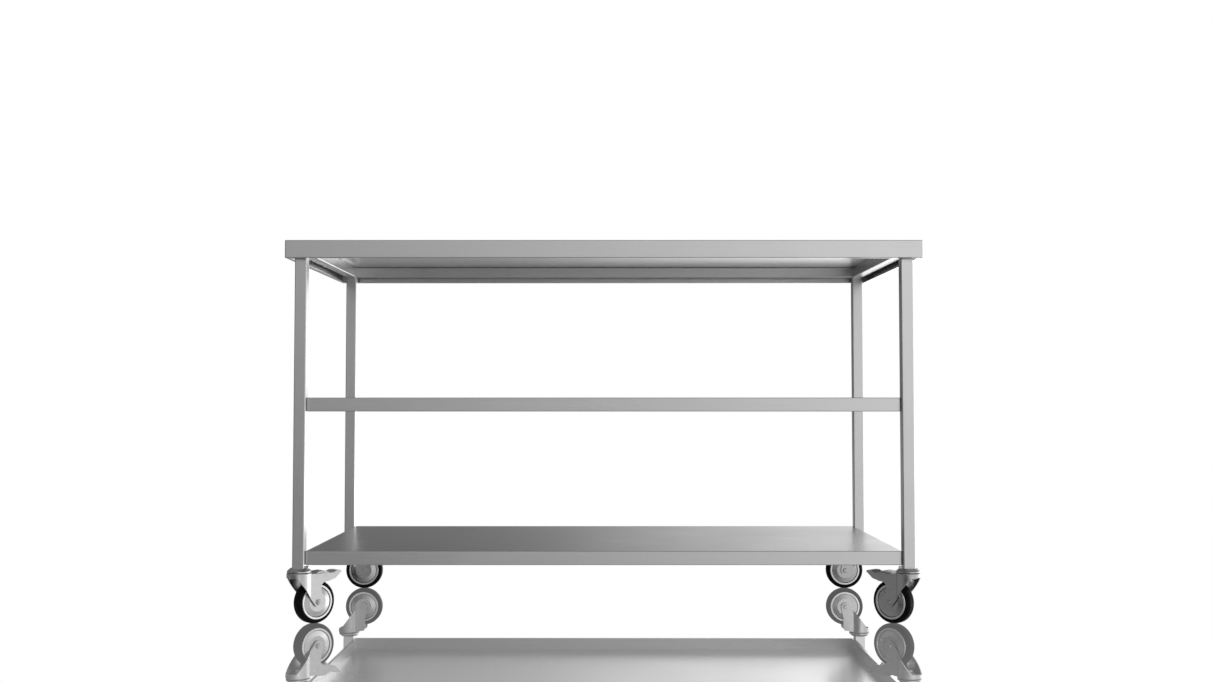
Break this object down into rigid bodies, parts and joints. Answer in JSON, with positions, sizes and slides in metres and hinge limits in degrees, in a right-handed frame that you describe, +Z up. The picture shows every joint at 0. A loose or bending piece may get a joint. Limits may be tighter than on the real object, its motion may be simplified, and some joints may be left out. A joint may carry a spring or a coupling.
{
  "type": "stainless work table",
  "caption": "Mobile stainless kitchen work table with a folded worktop, two open shelves, square tube legs and swivel castors, the front ones with brake pedals.",
  "frame": {"origin": "on the floor, under the centre of the worktop", "axes": "+X along the table's length to the right as seen from the front, +Y from front to back, +Z up"},
  "size_m": [1.6, 0.75, 0.964],
  "materials": {
    "stainless_sheet": "satin, fine grain along the length",
    "stainless_tube": "satin, grain along the tube",
    "castor_steel": "smooth satin pressed steel",
    "bolt_steel": "bright turned steel",
    "bearing_steel": "bright ground steel",
    "wheel_metal": "smooth silver, satin",
    "guard_metal": "smooth silver, pressed, satin",
    "tyre_rubber": "smooth black rubber"
  },
  "bodies": {
    "table": {"worktop": "stainless_sheet", "shelf_middle": "stainless_sheet", "shelf_lower": "stainless_sheet", "rail_front": "stainless_tube", "rail_rear": "stainless_tube", "rail_left": "stainless_tube", "rail_right": "stainless_tube", "leg_inserts": "bearing_steel", "castor_bolts": "bearing_steel", "kingpins": "bearing_steel", "race_washers": "bearing_steel", "leg_front_left": "stainless_tube", "leg_front_right": "stainless_tube", "leg_rear_left": "stainless_tube", "leg_rear_right": "stainless_tube", "head_cup_front_left": "castor_steel", "head_cup_front_right": "castor_steel", "head_cup_rear_left": "castor_steel", "head_cup_rear_right": "castor_steel"},
    "castor_front_left": {"fork_front_left": "castor_steel", "race_balls_front_left": "bearing_steel", "axle_bolt_front_left": "bolt_steel", "axle_nut_front_left": "bolt_steel", "axle_tube_front_left": "bearing_steel", "thread_guards_front_left": "guard_metal", "pedal_pin_front_left": "bolt_steel", "shoe_pin_front_left": "bolt_steel"},
    "wheel_front_left": {"wheel_core_front_left": "wheel_metal", "tyre_front_left": "tyre_rubber"},
    "pedal_front_left": {"pedal_front_left": "castor_steel"},
    "brake_shoe_front_left": {"brake_shoe_front_left": "castor_steel"},
    "castor_front_right": {"fork_front_right": "castor_steel", "race_balls_front_right": "bearing_steel", "axle_bolt_front_right": "bolt_steel", "axle_nut_front_right": "bolt_steel", "axle_tube_front_right": "bearing_steel", "thread_guards_front_right": "guard_metal", "pedal_pin_front_right": "bolt_steel", "shoe_pin_front_right": "bolt_steel"},
    "wheel_front_right": {"wheel_core_front_right": "wheel_metal", "tyre_front_right": "tyre_rubber"},
    "pedal_front_right": {"pedal_front_right": "castor_steel"},
    "brake_shoe_front_right": {"brake_shoe_front_right": "castor_steel"},
    "castor_rear_left": {"fork_rear_left": "castor_steel", "race_balls_rear_left": "bearing_steel", "axle_bolt_rear_left": "bolt_steel", "axle_nut_rear_left": "bolt_steel", "axle_tube_rear_left": "bearing_steel", "thread_guards_rear_left": "guard_metal"},
    "wheel_rear_left": {"wheel_core_rear_left": "wheel_metal", "tyre_rear_left": "tyre_rubber"},
    "castor_rear_right": {"fork_rear_right": "castor_steel", "race_balls_rear_right": "bearing_steel", "axle_bolt_rear_right": "bolt_steel", "axle_nut_rear_right": "bolt_steel", "axle_tube_rear_right": "bearing_steel", "thread_guards_rear_right": "guard_metal"},
    "wheel_rear_right": {"wheel_core_rear_right": "wheel_metal", "tyre_rear_right": "tyre_rubber"}
  },
  "joints": [
    {"name": "swivel_front_left", "type": "hinge", "parent": "table", "child": "castor_front_left", "pos_m": [-0.764, -0.339, 0.1315], "axis": [0, 0, 1], "continuous": true},
    {"name": "roll_front_left", "type": "hinge", "parent": "castor_front_left", "child": "wheel_front_left", "pos_m": [-0.73267, -0.30767, 0.0543], "axis": [-0.7071, 0.7071, 0], "continuous": true},
    {"name": "press_pedal_front_left", "type": "hinge", "parent": "castor_front_left", "child": "pedal_front_left", "pos_m": [-0.71592, -0.29092, 0.119], "axis": [-0.7071, 0.7071, 0], "range_deg": [0, 12]},
    {"name": "press_shoe_front_left", "type": "hinge", "parent": "castor_front_left", "child": "brake_shoe_front_left", "pos_m": [-0.73572, -0.31072, 0.118], "axis": [-0.7071, 0.7071, 0], "range_deg": [0, 2.4]},
    {"name": "swivel_front_right", "type": "hinge", "parent": "table", "child": "castor_front_right", "pos_m": [0.764, -0.339, 0.1315], "axis": [0, 0, 1], "continuous": true},
    {"name": "roll_front_right", "type": "hinge", "parent": "castor_front_right", "child": "wheel_front_right", "pos_m": [0.73267, -0.30767, 0.0543], "axis": [-0.7071, -0.7071, 0], "continuous": true},
    {"name": "press_pedal_front_right", "type": "hinge", "parent": "castor_front_right", "child": "pedal_front_right", "pos_m": [0.71592, -0.29092, 0.119], "axis": [-0.7071, -0.7071, 0], "range_deg": [0, 12]},
    {"name": "press_shoe_front_right", "type": "hinge", "parent": "castor_front_right", "child": "brake_shoe_front_right", "pos_m": [0.73572, -0.31072, 0.118], "axis": [-0.7071, -0.7071, 0], "range_deg": [0, 2.4]},
    {"name": "swivel_rear_left", "type": "hinge", "parent": "table", "child": "castor_rear_left", "pos_m": [-0.764, 0.339, 0.1315], "axis": [0, 0, 1], "continuous": true},
    {"name": "roll_rear_left", "type": "hinge", "parent": "castor_rear_left", "child": "wheel_rear_left", "pos_m": [-0.7197, 0.339, 0.0543], "axis": [0, 1, 0], "continuous": true},
    {"name": "swivel_rear_right", "type": "hinge", "parent": "table", "child": "castor_rear_right", "pos_m": [0.764, 0.339, 0.1315], "axis": [0, 0, 1], "continuous": true},
    {"name": "roll_rear_right", "type": "hinge", "parent": "castor_rear_right", "child": "wheel_rear_right", "pos_m": [0.7197, 0.339, 0.0543], "axis": [0, -1, 0], "continuous": true}
  ],
  "couplings": [
    {"joint": "press_shoe_front_left", "follows": "press_pedal_front_left", "ratio": 0.2},
    {"joint": "press_shoe_front_right", "follows": "press_pedal_front_right", "ratio": 0.2}
  ]
}
